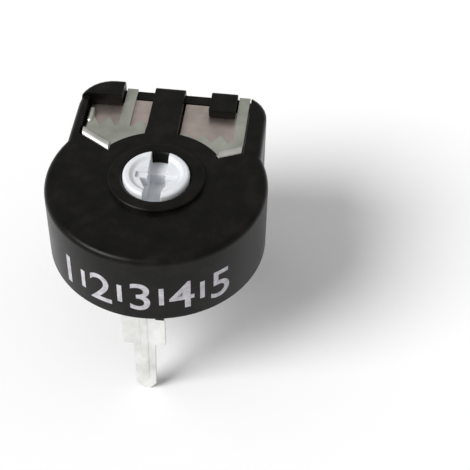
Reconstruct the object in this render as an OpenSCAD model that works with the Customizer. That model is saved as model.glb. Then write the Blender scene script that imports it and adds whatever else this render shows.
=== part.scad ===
// Single-turn carbon trimmer potentiometer, adjusted from above, for flat mounting on a circuit board.
// Millimetres. The rotor turns about Z. Z = 0 is the face of the board, and +Y points to the end terminals.

/* [Housing] */
// Diameter of the round body
body_d = 15; // [12.5:0.5:18]
// Height of the housing, from its open underside to its top face
body_h = 5.6; // [4.4:0.1:7]
// Clear height between the board and the housing
standoff = 3.3; // [1:0.1:4]
// Thickness of the top wall
top_t = 1; // [0.9:0.05:1.4]
// Thickness of the side wall around the bottom cover
side_t = 0.9; // [0.75:0.05:1.2]
// Width of the ledge that the bottom cover seats on
ledge_w = 0.3; // [0.2:0.05:0.5]
// Thickness of the side wall in front of the wiper terminal
skin_t = 0.5; // [0.4:0.05:0.7]
// Chamfer around the top face
rim_chamfer = 0.3; // [0.1:0.05:0.4]
// Width of the collar around the rotor
collar_w = 0.95; // [0.5:0.05:1.4]
// Height of the collar above the top face
collar_h = 0.35; // [0.1:0.05:0.6]
// Chamfer around the mouth of the rotor's bore
mouth_chamfer = 0.15; // [0.1:0.05:0.4]

/* [Terminal block] */
// Width of the block behind the round body
block_w = 13.5; // [12.6:0.1:14.4]
// Distance from the rotor axis to the rear face
block_y = 9.8; // [9.6:0.1:13]
// Thickness of the rear wall
rear_t = 0.9; // [0.6:0.05:1.2]
// Thickness of the walls beside the terminals
flank_t = 0.7; // [0.5:0.05:0.9]
// Width of the lip that covers the right edge of the right window
lip_w = 0.55; // [0.2:0.05:0.8]
// Chamfer of the rear corners
corner = 1.5; // [0.8:0.1:1.6]
// Radius of the web between the rotor and the windows
web_r = 4.8; // [4.4:0.1:5.2]
// Distance from the rotor axis to the web's straight sides
web_x = 3.7; // [3.4:0.1:4]
// Width of the rib between the windows
rib_w = 2.2; // [1.6:0.1:2.6]
// Distance of that rib to the left of the rotor axis
rib_shift = 0.4; // [0:0.1:0.6]
// Distance from the rotor axis to where the left window's slanting edge meets the flank
left_slant_y = 4; // [3.6:0.1:4.6]
// Angle of that slanting edge
left_slant_a = 33; // [25:1:38]
// Distance from the rotor axis to where the right window's slanting edge meets the flank
right_slant_y = 3.65; // [3.3:0.05:4.2]
// Angle of that slanting edge
right_slant_a = 24.5; // [20:0.5:36]
// Width of the left post, which stands in its window against the rear wall and the flank
left_post_w = 2.35; // [1.8:0.05:2.5]
// Reach of the left post's head from the rear wall, over the terminal
left_post_d = 0.95; // [0.4:0.05:1.4]
// Rise of the left post's head above the housing's top
left_post_h = 0.35; // [0:0.05:0.4]
// Width of the right post
right_post_w = 1.9; // [1.6:0.05:2.1]
// Reach of the right post's head from the rear wall
right_post_d = 1.4; // [0.4:0.05:1.8]
// Width of the opening between the right post and the lip
right_gap_w = 1; // [1:0.05:1.3]

/* [Bottom cover] */
// Thickness of the cover
cover_t = 0.8; // [0.6:0.05:1]
// Half angle of the end stop that limits the rotor
stop_half_a = 37.5; // [30:0.5:45]
// Height of the end stop above the cover
stop_h = 0.85; // [0.5:0.05:1]
// Width of the posts that hold the laminate up
prop_w = 1.2; // [0.8:0.1:1.6]
// Reach of the snap lugs into the side wall
snap_d = 0.2; // [0.1:0.05:0.3]

/* [Resistive element] */
// Thickness of the laminate
laminate_t = 0.8; // [0.6:0.05:1]
// Thickness of the printed carbon and silver layers
print_t = 0.05; // [0.03:0.01:0.08]
// Width of the carbon track
track_w = 1.1; // [0.8:0.05:1.2]
// Margin between the track and the edge of the laminate
track_margin = 0.45; // [0.3:0.05:0.6]
// Half angle of the gap between the ends of the track
track_gap_a = 40; // [35:1:45]

/* [Metal parts] */
// Thickness of the terminal sheet
metal_t = 0.3; // [0.2:0.02:0.36]
// Width of the wiper terminal's shoulder
shoulder_w = 2.9; // [2.2:0.02:3.2]
// Width of the solder pins
pin_w = 1.5; // [0.9:0.05:1.6]
// Length of the solder pins below the board's top face
pin_h = 5; // [2:0.1:6]
// Distance between the two end pins
pin_pitch = 10; // [8:0.1:10.2]
// Distance from the rear wall's inner face to the middle of the end terminals' legs
leg_back = 0.7; // [0.5:0.05:1]
// Width of the tab that lies over the rear wall
tab_w = 0.8; // [0.6:0.05:0.9]
// Depth of an end terminal's folded flap beside the web
flap_d = 0.7; // [0.3:0.1:1.2]
// Number of teeth along the flap
teeth = 4; // [2:1:5]
// Depth of those teeth
tooth_d = 0.9; // [0.4:0.05:1.2]
// Radius of the curl along the flap's slanting front edge
curl_r = 0.28; // [0.2:0.02:0.3]
// Thickness of the collector eyelet's wall and flanges
eyelet_t = 0.2; // [0.15:0.05:0.25]
// Reach of the eyelet's lower flange beyond its tube
collector_w = 0.75; // [0.5:0.05:0.8]
// Thickness of the contact spring
spring_t = 0.15; // [0.1:0.01:0.2]
// Width of the spring's arms to the collector
inner_arm_w = 0.5; // [0.3:0.05:0.6]
// Width of the spring's arms to the track
outer_arm_w = 0.6; // [0.3:0.05:0.7]
// Gap beside each of the spring's arms
arm_gap = 0.2; // [0.15:0.05:0.3]

/* [Rotor] */
// Diameter of the rotor's neck
neck_d = 4.5; // [3.7:0.1:5.4]
// Height of the neck above the housing's top face
neck_rise = 0.65; // [0.3:0.05:1]
// Width of the flange outside the contact spring
flange_rim = 0.4; // [0.2:0.05:0.5]
// Thickness of the flange
flange_t = 0.9; // [0.6:0.05:1]
// Diameter of the lower journal
journal_d = 4; // [3:0.1:4.4]
// Half angle of the stop lug on the flange
lug_half_a = 10; // [6:0.5:14]
// Depth of the adjusting slot below the top of the neck
slot_h = 1.15; // [0.6:0.05:1.4]
// Width of the adjusting slot
slot_w = 1.2; // [0.6:0.05:1.4]

/* [Fits] */
// Running clearance all round the rotor's neck and journal
run_gap = 0.05; // [0.03:0.01:0.08]
// Clearance all round parts that drop into the housing
drop_gap = 0.1; // [0.05:0.01:0.12]
// Free height between the rotor's flange and the cover
end_play = 0.05; // [0.03:0.01:0.1]
// Free height between the spring's contacts and what they rub on
rub_gap = 0.02; // [0.01:0.01:0.05]

/* [Hidden] */
$fn = 96;
e = 0.01;

// Radii
r_body = body_d / 2;
r_seat = r_body - side_t;
r_cavity = r_seat - ledge_w;
r_laminate = r_cavity - drop_gap;
r_track = r_laminate - track_margin - track_w / 2;
r_neck = neck_d / 2;
r_tube_in = r_neck + 2 * run_gap;
r_tube = r_tube_in + eyelet_t;
r_collector = r_tube + collector_w;
r_collar = r_neck + run_gap + collar_w;
r_spring_in = r_neck + arm_gap;
x_inner_arm = r_spring_in + drop_gap;
x_outer_arm = x_inner_arm + inner_arm_w + arm_gap;
r_spring = x_outer_arm + outer_arm_w + arm_gap;
r_flange = r_spring + flange_rim;
r_stop = r_flange + drop_gap;

// Heights
z_under = standoff;
z_top = z_under + body_h;
z_laminate_top = z_top - top_t;
z_laminate = z_laminate_top - laminate_t;
z_track = z_laminate - print_t;
z_cover = z_under + cover_t;
z_flange = z_cover + end_play;
z_spring = z_flange + flange_t;
z_neck = z_top + neck_rise;
z_plate = z_laminate_top + metal_t;
z_flap = z_plate + metal_t;

// Plan positions
x_flank = block_w / 2;
x_inside = x_flank - flank_t;
x_lip = x_inside - lip_w;
x_rib_left = -rib_shift - rib_w / 2;
x_rib_right = -rib_shift + rib_w / 2;
x_left_post = -x_inside + left_post_w;
x_right_post = x_lip - right_gap_w;
x_pin = pin_pitch / 2;
y_inside = block_y - rear_t;
y_leg = y_inside - leg_back;
y_wiper = -(r_body - skin_t - drop_gap / 2 - metal_t / 2);
y_laminate = y_leg - metal_t / 2 - drop_gap;
y_flap = web_r + flap_d;

// Chamfer inside the rear corners, which leaves their wall as thick as the skin at the front
inner_corner = corner - flank_t - rear_t + sqrt(2) * skin_t;

// The end terminals' legs reach out to the flank, or to the corner's chamfer
x_corner = x_inside + y_inside - inner_corner - y_leg - metal_t / 2;
leg_w = 2 * (min(x_inside, x_corner) - x_pin - drop_gap / 2);

// A flat sector of half angle a about -Y, out to radius r
module sector(a, r) {
    polygon([[0, 0], [-r * tan(a), -r], [r * tan(a), -r]]);
}

// ---------------------------------------------------------------- housing

module block_plan() {
    polygon([
        [-x_flank, 0], [x_flank, 0], [x_flank, block_y - corner], [x_flank - corner, block_y],
        [corner - x_flank, block_y], [-x_flank, block_y - corner]
    ]);
}

// The terminal block, chamfered along its top edges
module block_solid() {
    intersection() {
        translate([0, 0, z_under]) linear_extrude(body_h) block_plan();
        rotate([90, 0, 0]) translate([0, 0, -block_y]) linear_extrude(block_y) polygon([
            [-x_flank, z_under], [x_flank, z_under], [x_flank, z_top - rim_chamfer],
            [x_flank - rim_chamfer, z_top], [rim_chamfer - x_flank, z_top], [-x_flank, z_top - rim_chamfer]
        ]);
        rotate([90, 0, 90]) translate([0, 0, -x_flank]) linear_extrude(block_w) polygon([
            [0, z_under], [block_y, z_under], [block_y, z_top - rim_chamfer],
            [block_y - rim_chamfer, z_top], [0, z_top]
        ]);
    }
}

module round_body() {
    translate([0, 0, z_under]) cylinder(h = body_h - rim_chamfer, r = r_body);
    translate([0, 0, z_top - rim_chamfer]) cylinder(h = rim_chamfer, r1 = r_body, r2 = r_body - rim_chamfer);
    translate([0, 0, z_top - e]) cylinder(h = collar_h + e, r = r_collar);
}

// Angle of the slanting front edge of the window on the side of x, and that edge's depth at x
function slant_a(x) = x < 0 ? left_slant_a : right_slant_a;
function slant(x) = (x < 0 ? left_slant_y : right_slant_y) - (x_inside - abs(x)) * tan(slant_a(x));

// Plan of the window from x0 to x1, drawn in by inset from all its edges.
// Its slanting edge runs on a little way into the web.
window_turn = 0.9;
module window_plan(x0, x1, inset = 0) {
    side = sign(x0 + x1);
    x_far = side > 0 ? x1 - inset : x0 + inset;
    x_near = side > 0 ? x0 + inset : x1 - inset;
    x_turn = side * web_x * window_turn;
    lift = inset / cos(slant_a(side));
    difference() {
        polygon([
            [x_far, y_inside - inset], [x_far, slant(x_far) + lift], [x_turn, slant(x_turn) + lift],
            [x_near, slant(x_turn) + lift], [x_near, y_inside - inset]
        ]);
        intersection() {
            circle(web_r + inset);
            square(2 * [web_x + inset, web_r + inset], center = true);
        }
    }
}

module left_window(inset = 0) {
    window_plan(-x_inside, x_rib_left, inset);
}

module right_window(inset = 0) {
    window_plan(x_rib_right, x_lip, inset);
}

module interior() {
    // seat of the cover
    translate([0, 0, z_under - e]) linear_extrude(cover_t + e) room_plan(r_seat);
    // room for the rotor, the spring and the laminate
    translate([0, 0, z_cover - e]) linear_extrude(z_laminate_top - z_cover + e) room_plan(r_cavity);
    // pocket for the wiper terminal
    translate([0, 0, z_laminate_top - e]) linear_extrude(metal_t + drop_gap + e) wiper_plan(drop_gap / 2);
    // slot for its leg
    slot_depth = r_body - skin_t - r_cavity + drop_gap;
    translate([-shoulder_w / 2 - drop_gap / 2, skin_t - r_body, z_under - e])
        cube([shoulder_w + drop_gap, slot_depth, z_plate + drop_gap - z_under + e]);
    // pocket for the eyelet's upper flange
    translate([0, 0, z_plate - e]) cylinder(h = eyelet_t + drop_gap / 2 + e, r = r_collector + drop_gap);
    // pocket for the right terminal's plate under the lip
    translate([x_lip - e, slant(x_lip), z_laminate_top - e])
        cube([lip_w + e, y_leg + metal_t - slant(x_lip), metal_t + drop_gap + e]);
}

// Plan of the housing's inside, round part of radius r, drawn in by gap
module room_plan(r, gap = 0) {
    x = x_inside - gap;
    y = y_inside - gap;
    c = max(e, inner_corner - gap * (2 - sqrt(2)));
    circle(r - gap);
    polygon([[-x, 0], [x, 0], [x, y - c], [x - c, y], [c - x, y], [-x, y - c]]);
}

// Rear wall cut down to the terminals' plates between the posts
module rear_notches() {
    for (span = [[-x_inside, x_rib_left], [x_rib_right, x_lip]])
        translate([span[0], y_inside - e, z_plate]) cube([span[1] - span[0], rear_t + 2 * e, body_h]);
}

// A post from x0 to x1: a root in the rear wall, and a head that reaches d over the terminal's plate
module post(x0, x1, d) {
    z_head = z_plate + drop_gap;
    translate([x0, y_inside, z_cover]) cube([x1 - x0, rear_t, z_top - z_cover]);
    translate([x0, y_inside - d, z_head]) cube([x1 - x0, rear_t + d, z_top - z_head]);
}

module posts() {
    post(-x_flank, x_left_post, left_post_d);
    post(x_right_post - right_post_w, x_right_post, right_post_d);
}

// The left post's head stands higher than the rim, with the same chamfers
module left_head() {
    head_d = rear_t + left_post_d;
    translate([0, 0, left_post_h]) intersection() {
        block_solid();
        translate([-x_flank, block_y - head_d, z_top - 2 * rim_chamfer])
            cube([x_left_post + x_flank, head_d, 2 * rim_chamfer]);
    }
}

// Snap lugs on the cover's rim, or their pockets when grown by gap
snap_angles = [-150, -30, 0, 180];
snap_w = 1.2;
snap_h = 0.3;
snap_root = 0.5;
module snaps(gap = 0) {
    for (a = snap_angles) rotate([0, 0, a])
        translate([r_seat - snap_root, -snap_w / 2 - gap, z_under + (cover_t - snap_h) / 2 - gap])
            cube([snap_root + snap_d + gap, snap_w + 2 * gap, snap_h + 2 * gap]);
}

// A moulding nub on the underside, just inside the side wall's face and in front of the wiper
// terminal's shoulder, flush with the shoulder's right end
nub_w = 0.6;
nub_h = 0.35;
nub_inset = 0.05;
module gate_nub() {
    x = shoulder_w / 2 - nub_w;
    y = -sqrt(pow(r_body - nub_inset, 2) - pow(shoulder_w / 2, 2));
    y_leg_face = y_wiper - metal_t / 2;
    translate([x, y, z_under - nub_h]) cube([nub_w, y_leg_face - drop_gap - y, nub_h + e]);
}

module housing() {
    color([0.11, 0.105, 0.1]) difference() {
        union() {
            difference() {
                union() {
                    round_body();
                    block_solid();
                    gate_nub();
                }
                interior();
                snaps(drop_gap / 2);
                translate([0, 0, z_laminate_top - e]) linear_extrude(top_t + 2 * e) {
                    left_window();
                    right_window();
                }
                rear_notches();
            }
            intersection() {
                block_solid();
                posts();
            }
            left_head();
        }
        translate([0, 0, z_laminate_top - e]) cylinder(h = body_h, r = r_neck + run_gap);
        translate([0, 0, z_top + collar_h - mouth_chamfer])
            cylinder(h = mouth_chamfer + e, r1 = r_neck + run_gap, r2 = r_neck + run_gap + mouth_chamfer + e);
    }
}

// ---------------------------------------------------------------- bottom cover

// Plan of one end terminal's leg, grown by gap
module leg_slot(side, gap) {
    translate([side * x_pin - leg_w / 2 - gap, y_leg - metal_t / 2 - gap])
        square([leg_w + 2 * gap, metal_t + 2 * gap]);
}

module bottom_cover() {
    color([0.13, 0.125, 0.12]) difference() {
        union() {
            translate([0, 0, z_under]) linear_extrude(cover_t) room_plan(r_seat, drop_gap / 2);
            snaps();
            // end stop
            translate([0, 0, z_cover - e]) linear_extrude(stop_h + e) intersection() {
                difference() {
                    circle(r_cavity - drop_gap);
                    circle(r_stop);
                }
                rotate(180) sector(stop_half_a, body_d);
            }
            // props under the laminate
            for (side = [-1, 1])
                translate([side * (x_pin - leg_w) - prop_w / 2, y_laminate - prop_w, z_cover - e])
                    cube([prop_w, prop_w, z_laminate - z_cover + e]);
        }
        translate([0, 0, z_under - e]) cylinder(h = cover_t + 2 * e, r = journal_d / 2 + run_gap);
        translate([0, 0, z_under - e]) linear_extrude(cover_t + 2 * e)
            for (side = [-1, 1]) leg_slot(side, drop_gap);
    }
}

// ---------------------------------------------------------------- resistive element

module laminate_plan() {
    circle(r_laminate);
    translate([drop_gap - x_inside, 0]) square([2 * (x_inside - drop_gap), y_laminate]);
}

module laminate() {
    color([0.66, 0.55, 0.4]) translate([0, 0, z_laminate]) linear_extrude(laminate_t) difference() {
        laminate_plan();
        circle(r_tube + drop_gap / 2);
    }
}

module carbon_track() {
    color([0.08, 0.08, 0.085]) translate([0, 0, z_track]) linear_extrude(print_t) difference() {
        circle(r_track + track_w / 2);
        circle(r_track - track_w / 2);
        rotate(180) sector(track_gap_a, body_d);
    }
}

// Silver pad from an end of the track to the terminal's claw
module end_pad(side) {
    r0 = r_track - track_w / 2;
    r1 = r_track + track_w / 2;
    translate([0, 0, z_track]) linear_extrude(print_t) polygon([
        [side * r0 * sin(track_gap_a), r0 * cos(track_gap_a)],
        [side * r1 * sin(track_gap_a), r1 * cos(track_gap_a)],
        [side * (x_pin + pin_w / 2), r1 * cos(track_gap_a) + pin_w],
        [side * (x_pin + pin_w / 2), y_laminate - drop_gap],
        [side * (x_pin - pin_w / 2), y_laminate - drop_gap],
        [side * (x_pin - pin_w / 2), r1 * cos(track_gap_a) + pin_w]
    ]);
}

module end_pad_left() {
    color([0.75, 0.74, 0.7]) end_pad(-1);
}

module end_pad_right() {
    color([0.75, 0.74, 0.7]) end_pad(1);
}

// ---------------------------------------------------------------- terminals

// Leg and solder pin seen from the front: shoulder of width w, from the board up to height h
module leg_outline(w, h) {
    tip_w = 0.45;
    tip_h = 0.6;
    end_w = 0.92 * pin_w;
    polygon([
        [-w / 2, h], [-w / 2, 0], [-pin_w / 2, 0], [-end_w / 2, tip_h - pin_h], [-tip_w / 2, -pin_h],
        [tip_w / 2, -pin_h], [end_w / 2, tip_h - pin_h], [pin_w / 2, 0], [w / 2, 0], [w / 2, h]
    ]);
}

// Upright leg with its middle at y, pressed out along its middle into a low rib.
// The rib starts rib_z above the tip and ends rib_top below the housing.
rib_h = 0.1;
rib_z = 0.8;
rib_top = 0.4;
module leg(x, y, w, h) {
    translate([x, y + metal_t / 2, 0]) rotate([90, 0, 0]) linear_extrude(metal_t) leg_outline(w, h);
    translate([x - pin_w / 4, y - metal_t / 2 - rib_h, rib_z - pin_h])
        cube([pin_w / 2, rib_h + e, pin_h - rib_z + z_under - rib_top]);
}

// Claw that grips the laminate's underside and presses on the silver pad
module claw(side) {
    reach = 1;
    translate([side * x_pin - pin_w / 2, y_leg - metal_t / 2 - reach, z_track - metal_t])
        cube([pin_w, reach + metal_t / 2, metal_t]);
}

// Saw-toothed rear edge of the flap from x0 to x1 at depth y, as a region in front of it
module toothed(x0, x1, y) {
    pitch = (x1 - x0) / teeth;
    polygon(concat(
        [[x0, 0], [x0, y]],
        [for (i = [0:teeth - 1]) each [[x0 + (i + 0.5) * pitch, y + tooth_d], [x0 + (i + 1) * pitch, y]]],
        [[x1, 0]]
    ));
}

// The sheet's curled edge along a window's slanting edge, from x inwards to the web
module curl(x) {
    a = slant_a(x);
    x_end = web_x + drop_gap + curl_r * sin(a);
    translate([x, slant(x) + (2 * drop_gap + curl_r) / cos(a), z_flap]) rotate([0, 90, x < 0 ? -a : 180 + a])
        cylinder(h = (abs(x) - x_end) / cos(a), r = curl_r, $fn = 32);
}

module end_terminal_left() {
    color([0.72, 0.69, 0.65]) {
        // plate on the laminate, cut back around the leg and the post
        translate([0, 0, z_laminate_top]) linear_extrude(metal_t) difference() {
            left_window(drop_gap);
            translate([-x_flank, y_leg + metal_t / 2]) square([x_left_post + drop_gap + x_flank, block_y]);
        }
        // flap folded back over the plate, with a saw-toothed edge, and the tab over the rear wall
        translate([0, 0, z_plate]) linear_extrude(metal_t) {
            intersection() {
                left_window(drop_gap);
                toothed(-x_inside, x_rib_left, y_flap);
            }
            translate([x_left_post + drop_gap, y_flap]) square([tab_w, block_y - y_flap - drop_gap]);
        }
        curl(2.5 * drop_gap - x_inside);
        leg(-x_pin, y_leg, leg_w, z_plate);
        claw(-1);
    }
}

module end_terminal_right() {
    x1 = x_inside - drop_gap;
    color([0.7, 0.69, 0.64]) {
        translate([0, 0, z_laminate_top]) linear_extrude(metal_t) {
            difference() {
                right_window(drop_gap);
                translate([x_right_post - right_post_w - drop_gap, y_leg + metal_t / 2])
                    square([x_flank, block_y]);
            }
            translate([x_lip - 2 * drop_gap, slant(x_lip) + 3 * drop_gap])
                square([x1 - x_lip + 2 * drop_gap, y_leg + metal_t / 2 - slant(x_lip) - 3 * drop_gap]);
        }
        translate([0, 0, z_plate]) linear_extrude(metal_t) {
            intersection() {
                right_window(drop_gap);
                toothed(x_rib_right, x_lip, y_flap - tooth_d);
            }
            translate([x_right_post + drop_gap, y_flap - tooth_d])
                square([tab_w, block_y - y_flap + tooth_d - drop_gap]);
        }
        curl(x_lip - 2.5 * drop_gap);
        leg(x_pin, y_leg, leg_w, z_plate);
        claw(1);
    }
}

// Plan of the wiper terminal on the laminate: a ring around the eyelet, and an arm to the front
// that widens to the shoulder. It is grown by gap for its pocket.
module wiper_plan(gap = 0) {
    neck_length = 0.5;
    taper_length = 0.8;
    arm_x = 0.3 * shoulder_w + gap;
    shoulder_x = shoulder_w / 2 + gap;
    y_widen = -r_collector - neck_length;
    y_wide = y_widen - taper_length;
    y_end = y_wiper - metal_t / 2 - gap;
    circle(r_collector + drop_gap + gap);
    polygon([
        [-arm_x, 0], [-arm_x, y_widen], [-shoulder_x, y_wide], [-shoulder_x, y_end],
        [shoulder_x, y_end], [shoulder_x, y_wide], [arm_x, y_widen], [arm_x, 0]
    ]);
}

module wiper_terminal() {
    color([0.8, 0.8, 0.78]) {
        translate([0, 0, z_laminate_top]) linear_extrude(metal_t) difference() {
            wiper_plan();
            circle(r_tube + drop_gap / 2);
        }
        leg(0, y_wiper, shoulder_w, z_plate);
    }
}

// Tubular rivet: its lower flange is the collector that the spring's inner contact rubs on
module collector_eyelet() {
    color([0.8, 0.78, 0.7]) difference() {
        union() {
            translate([0, 0, z_laminate - eyelet_t]) {
                cylinder(h = eyelet_t, r = r_collector);
                cylinder(h = z_plate - z_laminate + 2 * eyelet_t, r = r_tube);
            }
            translate([0, 0, z_plate]) cylinder(h = eyelet_t, r = r_collector);
        }
        translate([0, 0, z_laminate - eyelet_t - e]) cylinder(h = body_h, r = r_tube_in);
    }
}

// ---------------------------------------------------------------- rotor and contact spring

// Stakes that hold the spring on the flange
stake_r = 0.4;
stake_gap = 0.03;
stake_y = (r_spring_in + r_spring) / 2;
// Bevel around the top of the neck
bevel_h = 0.2;
bevel_w = 0.15;
// Slot across the journal, for adjusting from below
lower_slot = [0.8 * journal_d, 0.8, 0.7];

module rotor() {
    color([0.93, 0.94, 0.96]) difference() {
        union() {
            translate([0, 0, z_under]) cylinder(h = z_flange - z_under + e, r = journal_d / 2);
            translate([0, 0, z_flange]) cylinder(h = flange_t, r = r_flange);
            // stop lug
            translate([0, 0, z_flange]) linear_extrude(flange_t) intersection() {
                circle(r_cavity - 2 * drop_gap);
                sector(lug_half_a, body_d);
            }
            translate([0, 0, z_spring - e]) cylinder(h = z_neck - z_spring - bevel_h + e, r = r_neck);
            translate([0, 0, z_neck - bevel_h]) cylinder(h = bevel_h, r1 = r_neck, r2 = r_neck - bevel_w);
            for (y = [-stake_y, stake_y]) translate([0, y, z_spring - e])
                cylinder(h = 2 * spring_t + e, r = stake_r, $fn = 32);
        }
        rotor_recess();
        translate([-lower_slot[0] / 2, -lower_slot[1] / 2, z_under - e]) cube(lower_slot + [0, 0, e]);
    }
}

// Arrow-shaped recess in the dished top of the rotor: a slot from rim to rim, whose floor steps down
// in front of well_y, shallow side arms, and an arrowhead's barbs in front of them.
dish_h = 0.25;
rim_w = 0.35;
well_h = 2;
well_y = 1;
arm_x = 1.4;
arm_w = 0.6;
arm_h = 0.45;
barb_x = 1.2;
barb_y = 1.5;
barb_start_y = 0.1;
module rotor_recess() {
    translate([0, 0, z_neck - dish_h]) cylinder(h = dish_h + e, r1 = r_neck - 2 * rim_w, r2 = r_neck - rim_w);
    translate([0, 0, z_neck - slot_h]) linear_extrude(slot_h + e) {
        translate([-slot_w / 2, -r_neck - e]) square([slot_w, 2 * (r_neck + e)]);
        polygon([
            [-barb_x, -barb_start_y], [barb_x, -barb_start_y], [slot_w / 2, -barb_y], [-slot_w / 2, -barb_y]
        ]);
    }
    translate([-slot_w / 2, -r_neck - e, z_neck - well_h]) cube([slot_w, r_neck + well_y + e, well_h + e]);
    translate([-arm_x, -arm_w / 2, z_neck - arm_h]) cube([2 * arm_x, arm_w, arm_h + e]);
}

// A spring loop of width w that rises from the base ring at y_root to a contact at y_tip and z_tip.
// Its arms stand x_arm from the middle, turn inwards at y_turn and meet in a nose.
module loop(x_arm, w, y_root, y_turn, y_tip, z_tip) {
    slope = atan((z_tip - z_spring - spring_t) / (y_tip - y_root));
    far = (y_tip - y_root) / cos(slope);
    turn = (y_turn - y_root) / cos(slope);
    nose_out = 1;
    nose_in = 0.7;
    inner_turn = turn - w / 3;
    translate([0, y_root, z_spring]) rotate([slope, 0, 0]) linear_extrude(spring_t) difference() {
        polygon([
            [-x_arm - w, 0], [-x_arm - w, turn], [-nose_out, far],
            [nose_out, far], [x_arm + w, turn], [x_arm + w, 0]
        ]);
        polygon([
            [-x_arm, -e], [-x_arm, inner_turn], [-nose_in, far - w],
            [nose_in, far - w], [x_arm, inner_turn], [x_arm, -e]
        ]);
    }
}

module contact_spring() {
    color([0.8, 0.66, 0.42]) {
        difference() {
            translate([0, 0, z_spring]) cylinder(h = spring_t, r = r_spring);
            translate([0, 0, z_spring - e]) cylinder(h = spring_t + 2 * e, r = r_spring_in);
            for (y = [-stake_y, stake_y]) translate([0, y, z_spring - e])
                cylinder(h = spring_t + 2 * e, r = stake_r + stake_gap, $fn = 32);
        }
        // wiper on the carbon track
        rotate([0, 0, 180]) loop(x_outer_arm, outer_arm_w, -1.2, 1.6, r_track + 0.2, z_track - rub_gap);
        // contact on the collector
        loop(x_inner_arm, inner_arm_w, -1.6, 1.9, r_collector, z_laminate - eyelet_t - rub_gap);
    }
}

housing();
bottom_cover();
laminate();
carbon_track();
end_pad_left();
end_pad_right();
end_terminal_left();
end_terminal_right();
wiper_terminal();
collector_eyelet();
contact_spring();
rotor();
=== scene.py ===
"""Looks of a single-turn carbon trimmer potentiometer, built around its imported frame.

Pieces are modelled in millimetres and scaled to metres when they are finished.
"""
import math

import bpy
from mathutils import Matrix, Vector


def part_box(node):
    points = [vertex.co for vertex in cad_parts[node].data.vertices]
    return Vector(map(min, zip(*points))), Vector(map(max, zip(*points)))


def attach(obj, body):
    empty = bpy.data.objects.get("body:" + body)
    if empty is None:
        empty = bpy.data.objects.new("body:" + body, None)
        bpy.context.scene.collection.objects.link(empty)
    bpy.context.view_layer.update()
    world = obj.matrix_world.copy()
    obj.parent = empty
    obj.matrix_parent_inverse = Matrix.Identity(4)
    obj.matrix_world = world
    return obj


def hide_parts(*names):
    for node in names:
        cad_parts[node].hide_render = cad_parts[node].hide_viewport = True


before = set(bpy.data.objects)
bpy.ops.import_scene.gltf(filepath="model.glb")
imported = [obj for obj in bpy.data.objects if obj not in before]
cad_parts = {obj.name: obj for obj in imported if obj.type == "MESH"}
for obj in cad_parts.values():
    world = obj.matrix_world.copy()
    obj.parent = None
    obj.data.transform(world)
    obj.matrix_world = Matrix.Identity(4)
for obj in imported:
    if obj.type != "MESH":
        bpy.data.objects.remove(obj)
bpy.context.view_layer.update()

MM = 0.001


def box_mm(node):
    """Lowest and highest corner of a frame node, in millimetres."""
    low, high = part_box(node)
    return low / MM, high / MM


# ---------------------------------------------------------------- sizes, in millimetres

housing_low, housing_high = box_mm("housing")
rotor_low, rotor_high = box_mm("rotor")
wiper_low, wiper_high = box_mm("wiper_terminal")

# Heights
UNDER_Z = box_mm("bottom_cover")[0].z
COVER_T = 0.8
COVER_Z = UNDER_Z + COVER_T
LAMINATE_TOP_Z = box_mm("laminate")[1].z
PLATE_Z = wiper_high.z
METAL_T = PLATE_Z - LAMINATE_TOP_Z
FLAP_Z = PLATE_Z + METAL_T
COLLAR_H = 0.35
TOP_Z = housing_high.z - COLLAR_H
NECK_Z = rotor_high.z
TIP_Z = wiper_low.z

# Round body and terminal block
BODY_R = -housing_low.y
REAR_Y = housing_high.y
FLANK_X = 6.75
FLANK_T = 0.7
REAR_T = 0.9
INSIDE_X = FLANK_X - FLANK_T
INSIDE_Y = REAR_Y - REAR_T
REAR_CORNER_R = 2.4
ROOM_CORNER_R = 0.5
RIM_R = 0.45
FOOT_R = 0.15
EDGE_R = 0.05
SEAT_R = 6.6
CAVITY_R = 6.3
SKIN_T = 0.5
GAP = 0.1

# Windows, rib and posts. A slant is its depth at the flank and its angle; a post is its span and reach
WEB_R = 4.8
WEB_X = 3.7
RIB_X = (-1.5, 0.7)
LIP_X = 5.5
LIP_POCKET_Y = 8.2
LEFT_SLANT = (4.0, math.radians(33))
RIGHT_SLANT = (3.65, math.radians(24.5))
LEFT_POST = ((-FLANK_X, -3.7), 0.95)
LEFT_HEAD_H = 0.35
RIGHT_POST = ((2.6, 4.5), 1.4)

# Pockets of the cover's snap lugs, and the stub of the moulding gate
SNAP_ANGLES = (-150, -30, 0, 180)
SNAP_D = 0.25
SNAP_W = 1.3
SNAP_Z = (UNDER_Z + 0.2, UNDER_Z + 0.6)
GATE_W = 0.6
GATE_H = 0.35
GATE_Y = (-7.2, -6.98)

# Wiper terminal and eyelet, whose pockets lie in the top wall
SHOULDER_W = 2.9
RING_R = 3.4
EYELET_T = 0.2

# Rotor and its bore
NECK_R = 2.25
NECK_BEND = 0.22
BORE_R = 2.3
MOUTH_CHAMFER = 0.15
COLLAR_R = 3.25
JOURNAL_R = 2.0
FLANGE_R = rotor_high.x
FLANGE_Z = COVER_Z + 0.05
SPRING_Z = FLANGE_Z + 0.9
LUG_R = -rotor_low.y
LUG_HALF_A = math.radians(10)
STAKE_Y = 3.25
STAKE_R = 0.4

# Recess in the rotor's top. The dish is given from the rim inwards, as radius and depth
DISH = ((1.86, 0), (1.79, 0.03), (1.7, 0.12), (1.61, 0.2), (1.5, 0.23), (0.2, 0.25))
SLOT_W = 1.2
SLOT_Z = NECK_Z - 1.15
WELL_Y = 1
WELL_Z = NECK_Z - 2
ARM_X = 1.4
ARM_HALF_W = 0.3
ARM_Z = NECK_Z - 0.45
BARB_X = 1.2
BARB_Y = 1.75
BARB_TIP = 0.3

# Slot in the rotor's underside: half length, half width and depth
LOWER_SLOT = (1.6, 0.4, 0.7)

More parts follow.
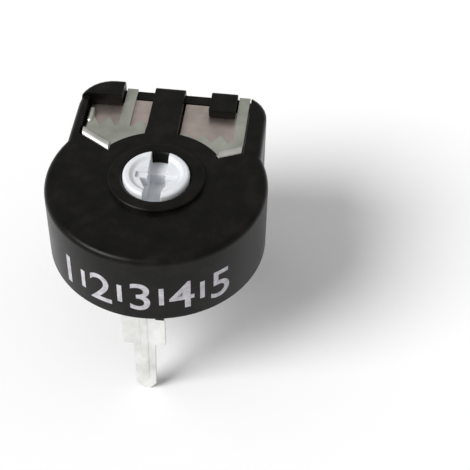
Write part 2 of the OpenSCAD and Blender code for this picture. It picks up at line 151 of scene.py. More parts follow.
# Folds and pressings of the terminals
FOLD_R = 0.2
BEAD_R = 0.44
BEAD_Z = PLATE_Z + 0.17
BEAD_GAP = 1.3 * GAP
CRIMP_R = 0.26
CRIMP_L = 1.52
CRIMP_Y = 5.7
CRIMP_Z = PLATE_Z + 0.18
LEG_RIB_R = 0.3
SHEET_EDGE_R = 0.035

# Marks of the ejector pins in the cover's underside
EJECTOR_PLACES = ((-3.7, -3.7), (3.7, -3.7), (-4.2, 4.6), (4.2, 4.6))
EJECTOR_R = 0.6
EJECTOR_D = 0.12

# Scale printed round the side
DIGITS = "12345"
DIGIT_H = 2.5
DIGIT_PITCH = 2.75
BAR_W = 0.32
BAR_H = 1.6
BAR_MIDDLE = 1.28
SCALE_Z = UNDER_Z + 1
INK_T = 0.02
INK_SINK = 0.01
INK_FACET_W = 0.25

# Facets around a full circle: the body, its inside, beads and marks, pins
ROUND = 128
ROUND_INSIDE = 96
ROUND_BEAD = 48
ROUND_PIN = 32

# Heights and places closer than this are the same
NEAR = 0.001

# A cutter runs a millimetre or more past the faces it cuts, or this far past the whole part
FAR = 12
ALL_ACROSS = (-FAR, FAR)


# ---------------------------------------------------------------- modelling helpers

def only(*objects):
    """Object mode, with just these objects selected and the first one active."""
    if bpy.context.object and bpy.context.object.mode != "OBJECT":
        bpy.ops.object.mode_set(mode="OBJECT")
    bpy.ops.object.select_all(action="DESELECT")
    for obj in objects:
        obj.select_set(True)
    if objects:
        bpy.context.view_layer.objects.active = objects[0]


def edit(obj, kind="FACE", test=lambda *_: True):
    """Edit mode on one object, with the vertices, edges or faces that pass the test selected.

    The test gets a vertex's place, an edge's two ends or a face's centre. With no test all is selected.
    """
    only(obj)
    bpy.context.tool_settings.mesh_select_mode = (kind == "VERT", kind == "EDGE", kind == "FACE")
    mesh = obj.data
    for group in (mesh.vertices, mesh.edges, mesh.polygons):
        group.foreach_set("select", [False] * len(group))
    at = [vertex.co for vertex in mesh.vertices]
    if kind == "VERT":
        for vertex in mesh.vertices:
            vertex.select = test(vertex.co)
    if kind == "EDGE":
        for edge in mesh.edges:
            edge.select = test(at[edge.vertices[0]], at[edge.vertices[1]])
    if kind == "FACE":
        for face in mesh.polygons:
            face.select = test(face.center)
    bpy.ops.object.mode_set(mode="EDIT")


def place(name):
    """Names the new object and moves its place into its mesh."""
    obj = bpy.context.object
    obj.name = obj.data.name = name
    bpy.ops.object.transform_apply(location=True, rotation=True, scale=True)
    return obj


def move(obj, x, y, z):
    """Moves a piece's mesh."""
    obj.data.transform(Matrix.Translation((x, y, z)))


def turn(obj, angle, axis):
    """Turns a piece's mesh about an axis through the origin."""
    obj.data.transform(Matrix.Rotation(angle, 4, axis))


def block(name, x, y, z):
    """A box between two values on each axis."""
    only()
    bpy.ops.mesh.primitive_cube_add(
        size=1,
        location=((x[0] + x[1]) / 2, (y[0] + y[1]) / 2, (z[0] + z[1]) / 2),
        scale=(x[1] - x[0], y[1] - y[0], z[1] - z[0]),
    )
    return place(name)


def disc(name, radius, z, facets):
    """A flat round plan at a height."""
    only()
    bpy.ops.mesh.primitive_circle_add(
        vertices=facets, radius=radius, fill_type="NGON", location=(0, 0, z),
    )
    return place(name)


def turned(name, profile, facets=ROUND):
    """A round solid about Z, raised ring by ring through (radius, height) pairs, with flat ends."""
    radius, height = profile[0]
    obj = disc(name, radius, height, facets)
    edit(obj)
    for next_radius, next_height in profile[1:]:
        bpy.ops.mesh.extrude_region_move(TRANSFORM_OT_translate={"value": (0, 0, next_height - height)})
        share = next_radius / radius
        bpy.ops.transform.resize(value=(share, share, 1), center_override=(0, 0, next_height))
        radius, height = next_radius, next_height
    outwards(obj)
    return obj


def quarter(radius, height, bend, steps=4):
    """Profile points of an upper edge rounded to the bend radius, from the side wall to the top."""
    turns = [math.pi / 2 * step / steps for step in range(steps + 1)]
    return [(radius - bend + bend * math.cos(a), height - bend + bend * math.sin(a)) for a in turns]


def outwards(obj):
    """Turns all the faces of a closed mesh outwards."""
    edit(obj)
    bpy.ops.mesh.normals_make_consistent(inside=False)
    only(obj)


def rise(obj, height):
    """Raises a flat plan into a solid of that height."""
    edit(obj)
    bpy.ops.mesh.extrude_region_move(TRANSFORM_OT_translate={"value": (0, 0, height)})
    outwards(obj)


def trim(obj, point, normal, fill=False):
    """Cuts away what lies beyond a plane, on the side that its normal points to."""
    edit(obj)
    bpy.ops.mesh.bisect(plane_co=point, plane_no=normal, use_fill=fill, clear_outer=True, threshold=1e-5)
    only(obj)


def bevel_edges(obj, test, width, segments):
    """Rounds the edges that pass the test."""
    edit(obj, "EDGE", test)
    bpy.ops.mesh.bevel(offset=width, segments=segments, affect="EDGES")
    only(obj)


def put_in_order(obj):
    """Sorts the points and faces by place, because the solver leaves them in a chance order."""
    mesh = obj.data
    places = [vertex.co[:] for vertex in mesh.vertices]
    order = sorted(range(len(places)), key=places.__getitem__)
    rank = {old: new for new, old in enumerate(order)}
    rings = []
    for face in mesh.polygons:
        ring = [rank[point] for point in face.vertices]
        first = ring.index(min(ring))
        rings.append(ring[first:] + ring[:first])
    sorted_mesh = bpy.data.meshes.new(mesh.name)
    sorted_mesh.from_pydata([places[point] for point in order], [], sorted(rings))
    obj.data = sorted_mesh
    bpy.data.meshes.remove(mesh)


def combine(obj, tool, how="DIFFERENCE"):
    """Cuts, joins or crosses a solid with a tool, which is used up."""
    modifier = obj.modifiers.new("combine", "BOOLEAN")
    modifier.object = tool
    modifier.operation = how
    modifier.solver = "EXACT"
    only(obj)
    bpy.ops.object.modifier_apply(modifier=modifier.name)
    bpy.data.objects.remove(tool)
    put_in_order(obj)


def soften(obj, width, angle=35):
    """Rounds every edge that is sharper than the angle, once edges too short for that are gone."""
    edit(obj)
    bpy.ops.mesh.dissolve_degenerate(threshold=1.3 * width)
    only(obj)
    modifier = obj.modifiers.new("soften", "BEVEL")
    modifier.width = width
    modifier.segments = 2
    modifier.limit_method = "ANGLE"
    modifier.angle_limit = math.radians(angle)
    modifier.use_clamp_overlap = False
    modifier.miter_outer = "MITER_SHARP"
    bpy.ops.object.modifier_apply(modifier=modifier.name)
    edit(obj, "VERT")
    bpy.ops.mesh.delete_loose()
    only(obj)


def clean(obj):
    """Merges doubles and dissolves what is flat."""
    edit(obj)
    bpy.ops.mesh.remove_doubles(threshold=0.004)
    bpy.ops.mesh.dissolve_limited(angle_limit=math.radians(0.5))
    only(obj)


def from_frame(node, name):
    """A copy of a frame node in millimetres, with its loose triangles merged."""
    only()
    obj = bpy.data.objects.new(name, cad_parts[node].data.copy())
    bpy.context.scene.collection.objects.link(obj)
    obj.data.transform(Matrix.Scale(1 / MM, 4))
    clean(obj)
    return obj


def finish_piece(obj, material, body, node=None):
    """Scales a piece to metres, shades it, gives it its material and lets it ride on its body."""
    only(obj)
    bpy.ops.object.shade_smooth_by_angle(angle=math.radians(30))
    modifier = obj.modifiers.new("flat_faces", "WEIGHTED_NORMAL")
    modifier.keep_sharp = True
    bpy.ops.object.modifier_apply(modifier=modifier.name)
    obj.data.transform(Matrix.Scale(MM, 4))
    obj.data.materials.clear()
    obj.data.materials.append(material)
    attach(obj, body)
    if node:
        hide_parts(node)


# ---------------------------------------------------------------- materials

def colour(text):
    """Linear colour of an sRGB hex value such as "#1b1a19"."""
    channels = [int(text[i:i + 2], 16) / 255 for i in (1, 3, 5)]
    return [c / 12.92 if c <= 0.04045 else ((c + 0.055) / 1.055) ** 2.4 for c in channels] + [1]


def fill(material, node, sockets):
    """Gives sockets their values, and links those whose value is another node's output."""
    for name, value in sockets.items():
        if isinstance(value, bpy.types.NodeSocket):
            material.node_tree.links.new(value, node.inputs[name])
        else:
            node.inputs[name].default_value = value


def add(material, kind, output, sockets, stops=(), **settings):
    """Adds a node with its settings, sockets and colour stops, and gives one of its outputs."""
    node = material.node_tree.nodes.new("ShaderNode" + kind)
    for name, value in settings.items():
        setattr(node, name, value)
    fill(material, node, sockets)
    if stops:
        elements = node.color_ramp.elements
        while len(elements) < len(stops):
            elements.new(0.5)
        for element, (position, text) in zip(elements, stops):
            element.position = position
            element.color = colour(text)
    return node.outputs[output]


def new_material(name, sockets):
    """A material, its shader with these sockets filled, and the piece's own coordinates."""
    material = bpy.data.materials.new(name)
    material.use_nodes = True
    shader = material.node_tree.nodes["Principled BSDF"]
    fill(material, shader, sockets)
    return material, shader, add(material, "TexCoord", "Object", {})


def per_mm(size):
    """Texture scale at which a pattern repeats about every so many millimetres."""
    return 1 / (size * MM)


def drawn_out(width, length):
    """Texture scales of streaks along the sheet: so many millimetres wide and long."""
    return per_mm(width), per_mm(length), per_mm(length)


def moulded_black_pbt():
    """Glass-filled PBT moulded in a spark-eroded tool: deep warm black, mottled, dull gloss."""
    material, shader, where = new_material("moulded_black_pbt", {"IOR": 1.5, "Specular IOR Level": 0.14})
    mottle = add(material, "TexNoise", "Fac", {
        "Vector": where, "Scale": per_mm(1.5), "Detail": 6, "Roughness": 0.62,
    })
    # the eroded grain is about 0.05 mm; it is drawn three times as coarse so that it shows
    grain = add(material, "TexNoise", "Fac", {
        "Vector": where, "Scale": per_mm(0.16), "Detail": 3, "Roughness": 0.55,
    })
    blacks = [(0.3, "#070706"), (0.5, "#0e0d0b"), (0.75, "#1c1a17")]
    fill(material, shader, {
        "Base Color": add(material, "ValToRGB", "Color", {"Fac": mottle}, blacks),
        "Roughness": add(material, "MapRange", "Result", {
            "Value": mottle, "To Min": 0.24, "To Max": 0.42,
        }),
        "Normal": add(material, "Bump", "Normal", {
            "Height": grain, "Strength": 0.5, "Distance": 0.012 * MM,
        }),
    })
    return material


def moulded_white_acetal():
    """Acetal, injection moulded: cool white, slightly waxy, with a smooth skin and faint flow marks."""
    material, shader, where = new_material("moulded_white_acetal", {
        "IOR": 1.48, "Subsurface Weight": 0.12,
        "Subsurface Radius": (1, 1, 1), "Subsurface Scale": 0.4 * MM,
    })
    flow = add(material, "TexNoise", "Fac", {
        "Vector": where, "Scale": per_mm(1.1), "Detail": 3, "Roughness": 0.55,
    })
    skin = add(material, "TexNoise", "Fac", {
        "Vector": where, "Scale": per_mm(0.12), "Detail": 2, "Roughness": 0.55,
    })
    whites = [(0.3, "#d8dbdf"), (0.7, "#e9ebee")]
    fill(material, shader, {
        "Base Color": add(material, "ValToRGB", "Color", {"Fac": flow}, whites),
        "Roughness": add(material, "MapRange", "Result", {
            "Value": flow, "To Min": 0.28, "To Max": 0.42,
        }),
        "Normal": add(material, "Bump", "Normal", {
            "Height": skin, "Strength": 0.4, "Distance": 0.006 * MM,
        }),
    })
    return material


def tinned_sheet():
    """Hot-dip tinned brass sheet, stamped: satin, cloudy tin, faint rolling lines and a dull tarnish,
    with painted highlights and tints by height.
    """
    material, shader, where = new_material("tinned_sheet", {"Metallic": 1})
    tarnish = add(material, "TexNoise", "Fac", {
        "Vector": where, "Scale": per_mm(1.8), "Detail": 5, "Roughness": 0.6,
    })
    tins = [(0.3, "#d2d3ce"), (0.5, "#e6e6e3"), (0.72, "#f7f7f5")]
    # painted by height: the pins, and the rolled edges and crimp on top, are painted brighter as
    # highlights; the plates get a warm tint and the flaps over them a green one
    height = add(material, "SeparateXYZ", "Z", {"Vector": where})
    level = add(material, "MapRange", "Result", {
        "Value": height, "From Min": (PLATE_Z - 1) * MM, "From Max": (FLAP_Z + 0.5) * MM,
    })
    painted_highlights_and_tints = [
        (0.1, "#ffffff"), (0.5, "#e8d8d2"), (0.6, "#e8d8d2"),
        (0.7, "#dde0d6"), (0.74, "#dde0d6"), (0.82, "#fffdfb"),
    ]
    # the rolling lines are 0.02 mm apart; they are drawn at 0.07 mm so that they show
    streaks = add(material, "Mapping", "Vector", {"Vector": where, "Scale": drawn_out(0.07, 2.5)})
    lines = add(material, "TexNoise", "Fac", {"Vector": streaks, "Scale": 1, "Detail": 2})
    fill(material, shader, {
        "Base Color": add(material, "Mix", "Result", {
            "Factor": 1,
            "A": add(material, "ValToRGB", "Color", {"Fac": tarnish}, tins),
            "B": add(material, "ValToRGB", "Color", {"Fac": level}, painted_highlights_and_tints),
        }, data_type="RGBA", blend_type="MULTIPLY"),
        "Roughness": add(material, "MapRange", "Result", {
            "Value": tarnish, "To Min": 0.32, "To Max": 0.5,
        }),
        "Normal": add(material, "Bump", "Normal", {
            "Height": lines, "Strength": 0.4, "Distance": 0.004 * MM,
        }),
    })
    return material


def printing_ink():
    """White pad-printing ink: a thin, matt, slightly uneven film."""
    material, shader, where = new_material("white_printing_ink", {"Roughness": 0.6})
    film = add(material, "TexNoise", "Fac", {
        "Vector": where, "Scale": per_mm(0.5), "Detail": 3, "Roughness": 0.55,
    })
    whites = [(0.3, "#a29ea5"), (0.7, "#c9c6cc")]
    fill(material, shader, {"Base Color": add(material, "ValToRGB", "Color", {"Fac": film}, whites)})
    return material


def phenolic_paper():
    """Phenolic paper laminate, punched: resin brown with darker paper fibres and a dull shine."""
    material, shader, where = new_material("phenolic_paper", {"Roughness": 0.5, "IOR": 1.55})
    streaks = add(material, "Mapping", "Vector", {"Vector": where, "Scale": drawn_out(0.12, 0.9)})
    fibres = add(material, "TexNoise", "Fac", {"Vector": streaks, "Scale": 1, "Detail": 4})
    browns = [(0.35, "#6b4526"), (0.65, "#94663b")]
    fill(material, shader, {
        "Base Color": add(material, "ValToRGB", "Color", {"Fac": fibres}, browns),
        "Normal": add(material, "Bump", "Normal", {
            "Height": fibres, "Strength": 0.5, "Distance": 0.008 * MM,
        }),
    })
    return material


def carbon_ink():
    """Carbon resistive ink, screen printed and cured: matt blue-black, with the mark of the mesh."""
    material, shader, where = new_material("carbon_ink", {"IOR": 1.55})
    grains = add(material, "TexNoise", "Fac", {
        "Vector": where, "Scale": per_mm(0.1), "Detail": 2, "Roughness": 0.55,
    })
    blacks = [(0.3, "#0d0d0f"), (0.7, "#1c1c1f")]
    fill(material, shader, {
        "Base Color": add(material, "ValToRGB", "Color", {"Fac": grains}, blacks),
        "Roughness": add(material, "MapRange", "Result", {
            "Value": grains, "To Min": 0.5, "To Max": 0.7,
        }),
        "Normal": add(material, "Bump", "Normal", {
            "Height": grains, "Strength": 0.6, "Distance": 0.006 * MM,
        }),
    })
    return material


def silver_ink():
    """Silver-loaded conductive ink, screen printed: pale, sparkling slightly, matt."""
    material, shader, where = new_material("silver_ink", {"Metallic": 0.85})
    flakes = add(material, "TexNoise", "Fac", {
        "Vector": where, "Scale": per_mm(0.08), "Detail": 2, "Roughness": 0.55,
    })
    silvers = [(0.3, "#9f9c94"), (0.7, "#cbc8c0")]
    fill(material, shader, {
        "Base Color": add(material, "ValToRGB", "Color", {"Fac": flakes}, silvers),
        "Roughness": add(material, "MapRange", "Result", {
            "Value": flakes, "To Min": 0.4, "To Max": 0.65,
        }),
    })
    return material


def tinned_brass_eyelet():
    """Drawn brass with thin tin, dulled: dark warm grey."""
    material, shader, where = new_material("tinned_brass_eyelet", {"Metallic": 1})
    cast = add(material, "TexNoise", "Fac", {
        "Vector": where, "Scale": per_mm(0.9), "Detail": 3, "Roughness": 0.55,
    })
    greys = [(0.3, "#5a4d36"), (0.6, "#8a8272")]
    fill(material, shader, {
        "Base Color": add(material, "ValToRGB", "Color", {"Fac": cast}, greys),
        "Roughness": add(material, "MapRange", "Result", {
            "Value": cast, "To Min": 0.25, "To Max": 0.4,
        }),
    })
    return material


def phosphor_bronze():
    """Phosphor bronze strip, rolled hard and stamped: golden brown, bright along the grain."""
    material, shader, where = new_material("phosphor_bronze", {"Metallic": 1})
    streaks = add(material, "Mapping", "Vector", {"Vector": where, "Scale": drawn_out(0.06, 2)})
    grain = add(material, "TexNoise", "Fac", {"Vector": streaks, "Scale": 1, "Detail": 3})
    bronzes = [(0.3, "#a8743f"), (0.7, "#cb9a63")]
    fill(material, shader, {
        "Base Color": add(material, "ValToRGB", "Color", {"Fac": grain}, bronzes),
        "Roughness": add(material, "MapRange", "Result", {
            "Value": grain, "To Min": 0.22, "To Max": 0.36,
        }),
        "Normal": add(material, "Bump", "Normal", {
            "Height": grain, "Strength": 0.5, "Distance": 0.004 * MM,
        }),
    })
    return material


black_plastic = moulded_black_pbt()
white_plastic = moulded_white_acetal()
tin = tinned_sheet()


# ---------------------------------------------------------------- housing

def body_plan(name, radius, half_w, depth, corner_r, z, facets=ROUND):
    """Flat plan of a round body with a block behind it, whose rear corners are rounded."""
    plan = disc(name, radius, z, facets)
    joint_y = math.sqrt(radius ** 2 - half_w ** 2)
    trim(plan, (0, joint_y, z), (0, 1, 0))
    edit(plan, "EDGE", lambda a, b: min(a.y, b.y) > joint_y - NEAR)
    bpy.ops.mesh.extrude_region_move(TRANSFORM_OT_translate={"value": (0, depth - joint_y, 0)})
    edit(plan, "VERT", lambda v: v.y > depth - NEAR)
    bpy.ops.mesh.bevel(offset=corner_r, offset_type="OFFSET", segments=8, affect="VERTICES")
    # no side may be shorter than the facets of the rims' rounding
    edit(plan)
    bpy.ops.mesh.dissolve_limited(angle_limit=0.001, use_dissolve_boundaries=False)
    bpy.ops.mesh.remove_doubles(threshold=0.06)
    only(plan)
    return plan


def rounded_body(name, top_z, inset=0):
    """The body and its block, with a rounded rim at the top and its block's walls set in."""
    body = body_plan(name, BODY_R, FLANK_X - inset, REAR_Y - inset, REAR_CORNER_R, UNDER_Z)
    rise(body, top_z - UNDER_Z)
    bevel_edges(body, lambda a, b: min(a.z, b.z) > top_z - NEAR, RIM_R, 5)
    return body


def left_head():
    """The left post's head, which stands higher than the rim.

    It is set in by a hair, so that its walls don't lie in the body's.
    """
    (_, right_x), reach = LEFT_POST
    head = rounded_body("left_head", TOP_Z + LEFT_HEAD_H, 0.02)
    room = block("head_room", (-FAR, right_x), (INSIDE_Y - reach, REAR_Y + 1), (TOP_Z - RIM_R, TOP_Z + 2))
    combine(head, room, "INTERSECT")
    return head


def housing_outside():
    """Body, block, collar, raised left head and gate stub, with rounded rims."""
    outside = rounded_body("housing_moulding", TOP_Z)
    bevel_edges(outside, lambda a, b: max(a.z, b.z) < UNDER_Z + NEAR, FOOT_R, 3)
    collar = turned("collar", [(COLLAR_R, TOP_Z - 0.5), *quarter(COLLAR_R, TOP_Z + COLLAR_H, 0.1, 2)])
    combine(outside, collar, "UNION")
    combine(outside, left_head(), "UNION")
    gate_x = SHOULDER_W / 2
    stub = block("gate_stub", (gate_x - GATE_W, gate_x), GATE_Y, (UNDER_Z - GATE_H, UNDER_Z + 0.2))
    combine(outside, stub, "UNION")
    return outside


def window_cutter(span, slant):
    """Space of one window, with its slanting front edge and the web's outline."""
    side = 1 if sum(span) > 0 else -1
    slant_y, slant_a = slant
    cutter = block("window", span, (1.5, REAR_Y + 2), (LAMINATE_TOP_Z - 1, TOP_Z + 3))
    beyond_slant = (side * math.sin(slant_a), -math.cos(slant_a), 0)
    trim(cutter, (side * INSIDE_X, slant_y, 0), beyond_slant, fill=True)
    web = turned("web", [(WEB_R, LAMINATE_TOP_Z - 2), (WEB_R, TOP_Z + 4)])
    combine(web, block("web_sides", (-WEB_X, WEB_X), ALL_ACROSS, (0, TOP_Z + FAR)), "INTERSECT")
    combine(cutter, web)
    return cutter


def wiper_pocket():
    """Space for the wiper terminal's ring, arm and leg, and for the eyelet's flange."""
    radius, top_z = RING_R + GAP / 2, PLATE_Z + EYELET_T + GAP / 2
    pocket = turned("wiper_pocket", [(radius, LAMINATE_TOP_Z - 1), (radius, top_z)], ROUND_INSIDE)
    half_w = SHOULDER_W / 2 + GAP / 2
    arm = block("arm", (-half_w, half_w), (SKIN_T - BODY_R, -3), (UNDER_Z - 1, PLATE_Z + GAP))
    combine(arm, block("under_arm", ALL_ACROSS, (-6, 0), (0, LAMINATE_TOP_Z - 1)))
    combine(pocket, arm, "UNION")
    return pocket


def room_ceiling():
    """What the top wall fills of the room: all of it but the windows and the pocket in the lip."""
    ceiling = block("ceiling", ALL_ACROSS, (-FAR, REAR_Y + 1), (LAMINATE_TOP_Z, TOP_Z + 2))
    combine(ceiling, window_cutter((-INSIDE_X - 1, RIB_X[0]), LEFT_SLANT))
    combine(ceiling, window_cutter((RIB_X[1], LIP_X), RIGHT_SLANT))
    pocket_y = (RIGHT_SLANT[0], LIP_POCKET_Y)
    pocket = block("lip_pocket", (LIP_X - GAP, FAR), pocket_y, (LAMINATE_TOP_Z - 1, PLATE_Z + GAP))
    combine(ceiling, pocket)
    return ceiling


def housing_room():
    """All the space inside the housing, open below, with the windows and the rear wall's notches."""
    room = body_plan("room", CAVITY_R, INSIDE_X, INSIDE_Y, ROOM_CORNER_R, UNDER_Z - 1, ROUND_INSIDE)
    rise(room, TOP_Z - UNDER_Z + 2)
    combine(room, room_ceiling())
    seat = body_plan("seat", SEAT_R, INSIDE_X, INSIDE_Y, ROOM_CORNER_R, UNDER_Z - 1.5, ROUND_INSIDE)
    rise(seat, COVER_T + 1.5)
    combine(room, seat, "UNION")
    for span in ((LEFT_POST[0][1] - 0.5, RIB_X[0]), (RIB_X[1], LIP_X)):
        notch = block("notch", span, (INSIDE_Y - 0.5, REAR_Y + 1), (PLATE_Z, TOP_Z + 3))
        combine(room, notch, "UNION")
    combine(room, wiper_pocket(), "UNION")
    for span, reach in (LEFT_POST, RIGHT_POST):
        root = block("post_root", span, (INSIDE_Y, REAR_Y + 2), (COVER_Z, TOP_Z + 4))
        head = block("post_head", span, (INSIDE_Y - reach, REAR_Y + 2), (PLATE_Z + GAP, TOP_Z + 4))
        combine(room, root)
        combine(room, head)
    for angle in SNAP_ANGLES:
        lug = block("snap_pocket", (SEAT_R - 0.5, SEAT_R + SNAP_D), (-SNAP_W / 2, SNAP_W / 2), SNAP_Z)
        turn(lug, math.radians(angle), "Z")
        combine(room, lug, "UNION")
    return room


def housing():
    """The black moulding: its outside, less the room inside it and the rotor's bore."""
    shell = housing_outside()
    combine(shell, housing_room())
    mouth_z = TOP_Z + COLLAR_H
    bore = turned("bore", [
        (BORE_R, LAMINATE_TOP_Z - 1), (BORE_R, mouth_z - MOUTH_CHAMFER),
        (BORE_R + MOUTH_CHAMFER + 0.3, mouth_z + 0.3),
    ])
    combine(shell, bore)
    clean(shell)
    soften(shell, EDGE_R)
    finish_piece(shell, black_plastic, "housing_body", "housing")


# ---------------------------------------------------------------- scale printed on the side

def flat_digit(digit, x):
    """One digit as a flat mesh, with its foot's middle at x."""
    only()
    bpy.ops.object.text_add(location=(0, 0, 0))
    text = bpy.context.object.data
    text.body = digit
    text.align_x = "CENTER"
    # a digit is 0.7 of its font's size high, and is drawn a little bolder than the font
    text.size = DIGIT_H / 0.7
    text.offset = 0.02
    bpy.ops.object.convert(target="MESH")
    mark = place("digit")
    move(mark, x, 0, 0)
    return mark


def flat_bar(x):
    """One short bar as a flat mesh."""
    only()
    bpy.ops.mesh.primitive_plane_add(size=1, location=(x, BAR_MIDDLE, 0))
    bpy.context.object.scale = (BAR_W, BAR_H, 1)
    return place("bar")


def printed_scale():
    """A row of plain digits with short bars between them, printed round the front of the body."""
    middle = (len(DIGITS) - 1) / 2
    marks = [flat_digit(digit, (i - middle) * DIGIT_PITCH) for i, digit in enumerate(DIGITS)]
    marks += [flat_bar((i + 0.5 - middle) * DIGIT_PITCH) for i in range(len(DIGITS) - 1)]
    only(*marks)
    bpy.ops.object.join()
    scale = bpy.context.object
    scale.name = scale.data.name = "printed_scale"
    edit(scale)
    bpy.ops.mesh.remove_doubles(threshold=0.01)
    bpy.ops.mesh.dissolve_degenerate(threshold=0.01)
    # cut into narrow strips, so that it bends round the body
    reach = 3 * DIGIT_PITCH
    for step in range(int(2 * reach / INK_FACET_W)):
        cut_x = INK_FACET_W * step - reach
        edit(scale)
        bpy.ops.mesh.bisect(plane_co=(cut_x, 0, 0), plane_no=(1, 0, 0), threshold=1e-5)
    only(scale)
    modifier = scale.modifiers.new("film", "SOLIDIFY")
    modifier.thickness = INK_T + INK_SINK
    modifier.offset = 1
    bpy.ops.object.modifier_apply(modifier=modifier.name)
    for vertex in scale.data.vertices:
        along, up, out = vertex.co
        angle = along / BODY_R
        radius = BODY_R - INK_SINK + out
        vertex.co = (radius * math.sin(angle), -radius * math.cos(angle), SCALE_Z + up)
    outwards(scale)
    finish_piece(scale, printing_ink(), "housing_body")


# ---------------------------------------------------------------- bottom cover

def bottom_cover():
    """The cover, with the marks of four ejector pins in its underside."""
    cover = from_frame("bottom_cover", "bottom_cover_moulding")
    for x, y in EJECTOR_PLACES:
        profile = [(EJECTOR_R, UNDER_Z - 1), (EJECTOR_R, UNDER_Z + EJECTOR_D)]
        mark = turned("ejector_mark", profile, ROUND_BEAD)
        move(mark, x, y, 0)
        combine(cover, mark)
    soften(cover, EDGE_R)
    finish_piece(cover, black_plastic, "housing_body", "bottom_cover")


# ---------------------------------------------------------------- rotor

def rotor_recess():
    """Arrow-shaped recess: a slot, deeper in front, with an arrowhead's barbs and shallow side arms."""
    top, outside = NECK_Z + 1, NECK_R + 1
    half_w = SLOT_W / 2
    recess = block("recess", (-half_w, half_w), (-outside, outside), (WELL_Z, top))
    combine(recess, block("rear_floor", (-1, 1), (WELL_Y, outside + 1), (UNDER_Z, SLOT_Z)))
    barbs = block("barbs", (-BARB_X, BARB_X), (-BARB_Y, -0.1), (SLOT_Z, top + 0.1))
    edit(barbs, "VERT", lambda v: v.y < -BARB_Y + 0.1)
    bpy.ops.transform.resize(value=(BARB_TIP, 1, 1), center_override=(0, 0, 0))
    combine(recess, barbs, "UNION")
    arms = block("arms", (-ARM_X, ARM_X), (-ARM_HALF_W, ARM_HALF_W), (ARM_Z, top + 0.2))
    combine(recess, arms, "UNION")
    return recess


def stop_lug():
    """The lug on the flange that meets the cover's stop, wider at its outer end."""
    lug = block("stop_lug", (-0.5, 0.5), (-LUG_R, -3), (FLANGE_Z, SPRING_Z))
    edit(lug, "VERT", lambda v: v.y < -LUG_R + 0.1)
    outer_w = 2 * LUG_R * math.tan(LUG_HALF_A)
    bpy.ops.transform.resize(value=(outer_w, 1, 1), center_override=(0, 0, 0))
    only(lug)
    return lug


def rotor():
    """The white moulding: journal, flange and neck in one, with lug, stakes, recess and lower slot."""
    body = turned("rotor_moulding", [
        (JOURNAL_R - 0.1, UNDER_Z), (JOURNAL_R, UNDER_Z + 0.1), (JOURNAL_R, FLANGE_Z),
        (FLANGE_R, FLANGE_Z), (FLANGE_R, SPRING_Z), (NECK_R, SPRING_Z),
        *quarter(NECK_R, NECK_Z, NECK_BEND), *[(radius, NECK_Z - depth) for radius, depth in DISH],
    ])
    combine(body, stop_lug(), "UNION")
    for y in (-STAKE_Y, STAKE_Y):
        stake = turned("stake", [
            (STAKE_R, SPRING_Z - 0.3), (STAKE_R, SPRING_Z + 0.2), (STAKE_R - 0.08, SPRING_Z + 0.3),
        ], ROUND_PIN)
        move(stake, 0, y, 0)
        combine(body, stake, "UNION")
    combine(body, rotor_recess())
    half_l, half_w, depth = LOWER_SLOT
    lower_slot_z = (UNDER_Z - 1, UNDER_Z + depth)
    combine(body, block("lower_slot", (-half_l, half_l), (-half_w, half_w), lower_slot_z))
    clean(body)
    soften(body, 0.04)
    finish_piece(body, white_plastic, "rotor_body", "rotor")


# ---------------------------------------------------------------- terminals

def rolled_edge(far_x, far_y, slant_a):
    """Rounded, turned-up edge of the sheet along a window's slanting front edge."""
    side = -1 if far_x < 0 else 1
    # longer than the edge, then trimmed at the window's side and at the web
    bead = turned("rolled_edge", [(BEAD_R, -4), (BEAD_R, 1)], ROUND_BEAD)
    turn(bead, math.pi / 2, "Y")
    bead.data.transform(Matrix.Rotation(side * slant_a, 4, "Z") @ Matrix.Scale(side, 4, (1, 0, 0)))
    move(bead, far_x, far_y + (GAP + 0.04 + BEAD_R) / math.cos(slant_a), BEAD_Z)
    outwards(bead)
    trim(bead, (far_x - side * BEAD_GAP, 0, 0), (side, 0, 0), fill=True)
    trim(bead, (side * (WEB_X + BEAD_GAP), 0, 0), (-side, 0, 0), fill=True)
    combine(bead, block("under_bead", ALL_ACROSS, ALL_ACROSS, (0, LAMINATE_TOP_Z + 0.01)))
    soften(bead, SHEET_EDGE_R, 60)
    return bead


def side_crimp():
    """Narrow strip of the left sheet folded up round the laminate's outer edge, with round ends."""
    end = 0.12
    crimp = turned("side_crimp", [
        (CRIMP_R - end, 0), (CRIMP_R, end), (CRIMP_R, CRIMP_L - end), (CRIMP_R - end, CRIMP_L),
    ], ROUND_PIN)
    turn(crimp, -math.pi / 2, "X")
    move(crimp, GAP + CRIMP_R - INSIDE_X, CRIMP_Y, CRIMP_Z)
    return crimp


def end_terminal(side, flap_x, far_x, slant):
    """Stamped end terminal, with a round fold along the flap's left edge and a rolled front edge."""
    node = f"end_terminal_{side}"
    sheet = from_frame(node, node + "_sheet")
    fold_x = flap_x + GAP
    # the frame's small curl goes, with a hair of the flap's top and left faces
    combine(sheet, block("above_flap", ALL_ACROSS, ALL_ACROSS, (FLAP_Z - 0.005, FLAP_Z + 1)))
    combine(sheet, block("beside_flap", (-FAR, fold_x + 0.005), (0, 6.2), (PLATE_Z + 0.005, TOP_Z)))
    clean(sheet)
    bevel_edges(
        sheet,
        lambda a, b: max(abs(a.x - fold_x), abs(b.x - fold_x)) < 0.01 and min(a.z, b.z) > FLAP_Z - 0.02,
        FOLD_R, 4,
    )
    soften(sheet, SHEET_EDGE_R)
    slant_y, slant_a = slant
    bead = rolled_edge(far_x, slant_y - (INSIDE_X - abs(far_x)) * math.tan(slant_a), slant_a)
    combine(sheet, bead, "UNION")
    if side == "left":
        combine(sheet, side_crimp(), "UNION")
    finish_piece(sheet, tin, "housing_body", node)


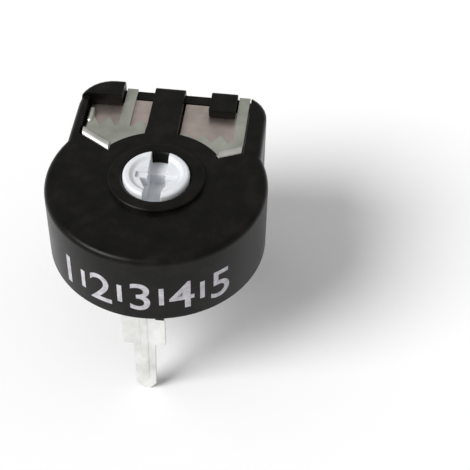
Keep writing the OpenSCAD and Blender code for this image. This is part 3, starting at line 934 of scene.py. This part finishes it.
def leg_rib(face_y):
    """Rounded rib pressed out of the leg's front, cut off flat behind."""
    bottom_z, top_z = TIP_Z + 1, UNDER_Z - 0.2
    rib = turned("leg_rib", [
        (0.08, bottom_z), (0.22, bottom_z + 0.08), (LEG_RIB_R, bottom_z + 0.25),
        (LEG_RIB_R, top_z - 0.6), (0.22, top_z - 0.2), (0.08, top_z),
    ], ROUND_PIN)
    move(rib, 0, face_y + 0.08, 0)
    combine(rib, block("behind_rib", (-1, 1), (face_y + 0.1, 0), (TIP_Z - 1, UNDER_Z + 1)))
    return rib


def wiper_terminal():
    """Stamped wiper terminal, whose flat rib gives way to a rounded one."""
    sheet = from_frame("wiper_terminal", "wiper_terminal_sheet")
    face_y = wiper_low.y + 0.1
    combine(sheet, block("flat_rib", (-2, 2), (face_y - 1, face_y), (TIP_Z - 1, UNDER_Z)))
    clean(sheet)
    soften(sheet, SHEET_EDGE_R)
    combine(sheet, leg_rib(face_y), "UNION")
    finish_piece(sheet, tin, "housing_body", "wiper_terminal")


# ---------------------------------------------------------------- inner pieces

def inner_piece(node, material, body, edge_r):
    """A stamped or printed piece inside the housing, with its edges softened."""
    piece = from_frame(node, node + "_piece")
    soften(piece, edge_r)
    finish_piece(piece, material, body, node)


housing()
printed_scale()
bottom_cover()
rotor()
end_terminal("left", -INSIDE_X, -INSIDE_X, LEFT_SLANT)
end_terminal("right", RIB_X[1], LIP_X, RIGHT_SLANT)
wiper_terminal()
silver = silver_ink()
inner_piece("laminate", phenolic_paper(), "housing_body", 0.05)
inner_piece("carbon_track", carbon_ink(), "housing_body", 0.015)
inner_piece("end_pad_left", silver, "housing_body", 0.015)
inner_piece("end_pad_right", silver, "housing_body", 0.015)
inner_piece("collector_eyelet", tinned_brass_eyelet(), "housing_body", 0.06)
inner_piece("contact_spring", phosphor_bronze(), "rotor_body", 0.02)


# ---------------------------------------------------------------- stage

def stage():
    """White floor, soft light from the front left, and a bright room."""
    only()
    bpy.ops.mesh.primitive_plane_add(size=3, location=(0, 0, TIP_Z * MM))
    floor = bpy.context.object
    floor.name = "floor"
    paper, _, _ = new_material("pale_paper", {
        "Base Color": colour("#ffffff"), "Roughness": 0.9, "Specular IOR Level": 0.1,
    })
    floor.data.materials.append(paper)

    world = bpy.data.worlds.new("soft_room")
    bpy.context.scene.world = world
    world.use_nodes = True
    background = world.node_tree.nodes["Background"]
    background.inputs["Color"].default_value = (1, 1, 1, 1)
    background.inputs["Strength"].default_value = 0.44

    lamp = bpy.data.lights.new("key", "SUN")
    lamp.energy = 2.75
    lamp.angle = math.radians(32)
    key = bpy.data.objects.new("key", lamp)
    bpy.context.scene.collection.objects.link(key)
    key.rotation_mode = "QUATERNION"
    key.rotation_quaternion = Vector((5.3, 3.9, -5.9)).to_track_quat("-Z", "Y")

    bpy.context.scene.view_settings.view_transform = "Standard"


def camera():
    """Long lens from above the front, a little to the right and slightly turned."""
    azimuth, elevation, roll = math.radians(5.07), math.radians(46.33), math.radians(1.55)
    distance, aim_right, aim_up = 83.6 * MM, 5.366 * MM, 0.166 * MM
    level = math.cos(elevation)
    back = Vector((math.sin(azimuth) * level, -math.cos(azimuth) * level, math.sin(elevation)))
    tilt = (-back).to_track_quat("-Z", "Y").to_matrix() @ Matrix.Rotation(roll, 3, "Z")
    right, up = tilt.col[0], tilt.col[1]
    aim = Vector((0, 0, UNDER_Z * MM)) + right * aim_right + up * aim_up
    data = bpy.data.cameras.new("camera")
    data.lens = 91.1
    data.sensor_width = 36
    data.clip_start, data.clip_end = 0.005, 2
    cam = bpy.data.objects.new("camera", data)
    bpy.context.scene.collection.objects.link(cam)
    cam.matrix_world = Matrix.Translation(aim + back * distance) @ tilt.to_4x4()
    bpy.context.scene.camera = cam


stage()
camera()
